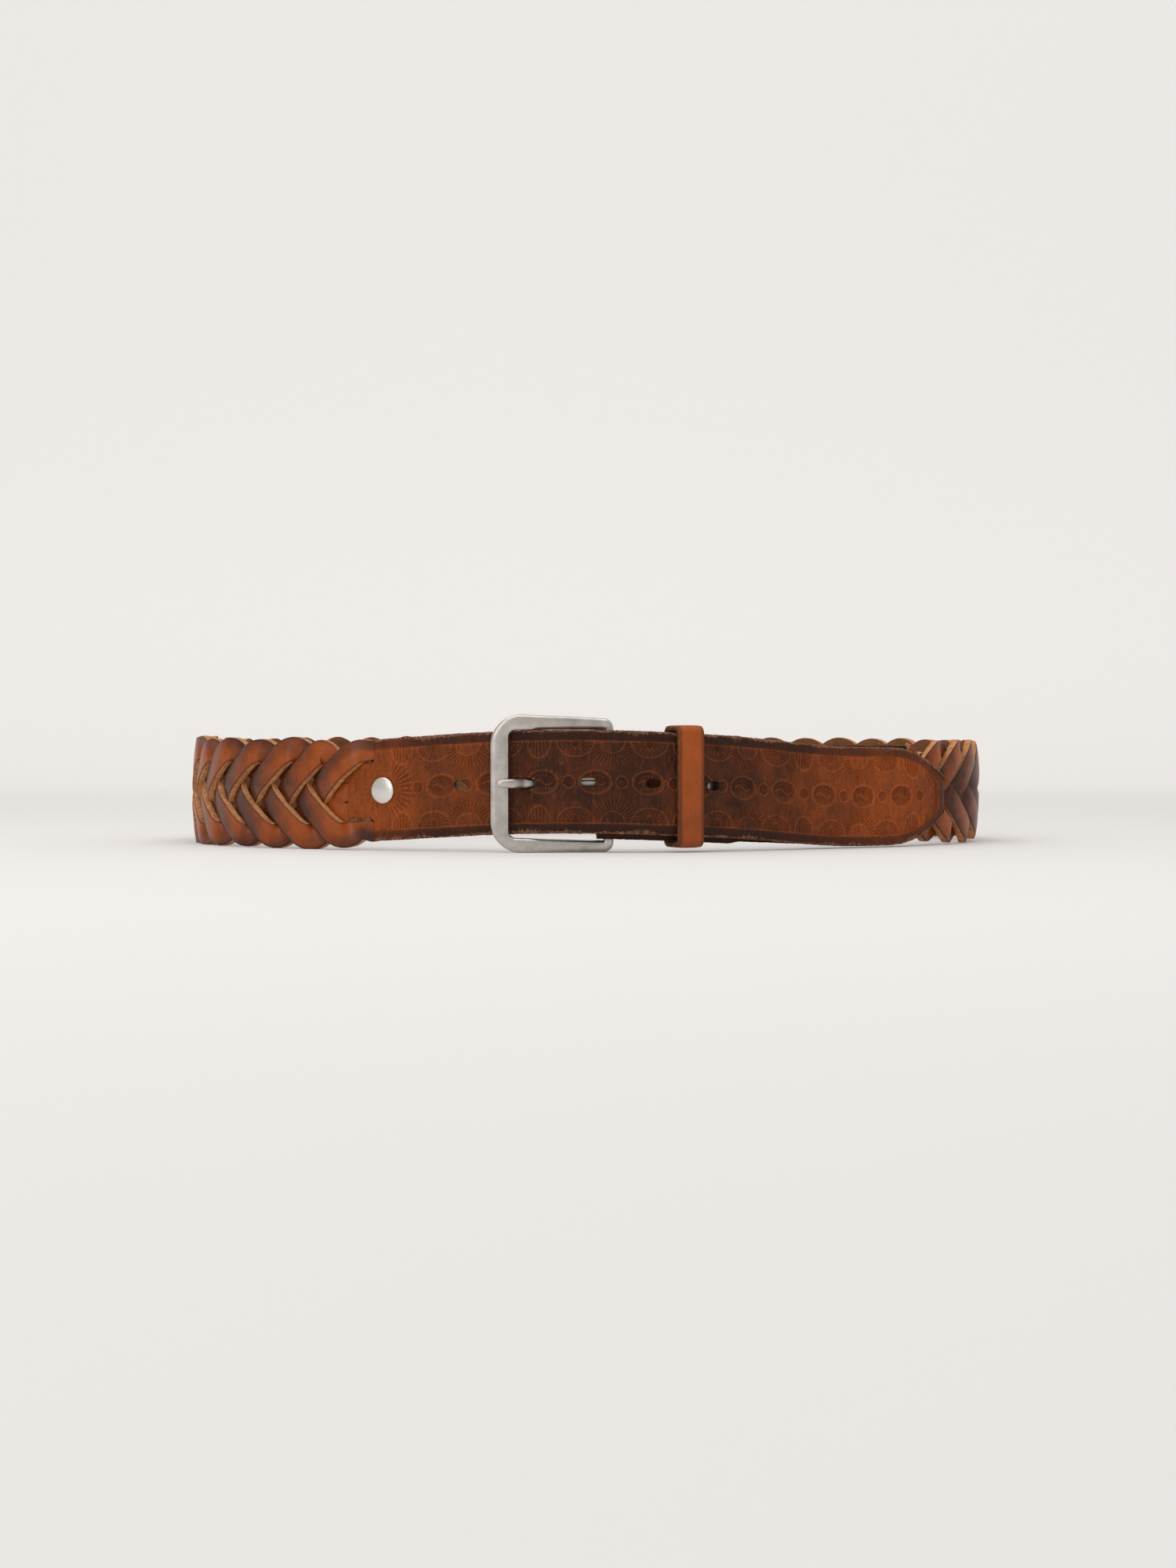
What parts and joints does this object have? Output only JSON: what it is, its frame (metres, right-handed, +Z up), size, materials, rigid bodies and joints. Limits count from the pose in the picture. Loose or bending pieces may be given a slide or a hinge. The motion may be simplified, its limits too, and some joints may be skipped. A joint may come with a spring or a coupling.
{
  "type": "leather belt",
  "caption": "Buckled braided leather belt with tooled end straps, a satin heel-bar buckle, a captive prong and a sliding leather keeper.",
  "frame": {"origin": "centre of the buckled loop's box, at the level it stands on", "axes": "+Z up, across the strap's width; -Y to the front, where the buckle is; +X toward the strap's pointed end, to the right seen from the front"},
  "size_m": [0.3364, 0.2458, 0.0536],
  "materials": {
    "strap_leather": "tooled, antiqued, waxed",
    "braid_leather": "burnished, glossy",
    "keeper_leather": "smooth, waxed",
    "buckle_metal": "satin nickel plate",
    "rivet_metal": "satin nickel plate",
    "wire": "drawn wire"
  },
  "bodies": {
    "belt": {"tip_strap": "strap_leather", "buckle_strap": "strap_leather", "braid_strand_1": "braid_leather", "braid_strand_2": "braid_leather", "braid_strand_3": "braid_leather", "braid_strand_4": "braid_leather", "braid_strand_5": "braid_leather", "tip_rivet_cap": "rivet_metal", "tip_rivet_burr": "rivet_metal", "fold_rivet_cap": "rivet_metal", "fold_rivet_burr": "rivet_metal"},
    "frame": {"buckle_frame": "buckle_metal"},
    "prong": {"buckle_prong": "buckle_metal"},
    "keeper": {"keeper_loop": "keeper_leather", "keeper_staple": "wire"}
  },
  "joints": [
    {"name": "frame_hinge", "type": "hinge", "parent": "belt", "child": "frame", "pos_m": [0.00846, -0.11177, 0.0268], "axis": [0, 0, 1], "range_deg": [0, 2]},
    {"name": "prong_hinge", "type": "hinge", "parent": "frame", "child": "prong", "pos_m": [0.00846, -0.11177, 0.0268], "axis": [0, 0, 1], "range_deg": [0, 2]},
    {"name": "keeper_travel", "type": "hinge", "parent": "belt", "child": "keeper", "pos_m": [0.01644, -0.06029, 0.0253], "axis": [0, 0, 1], "range_deg": [-11.5, 0.4]}
  ]
}
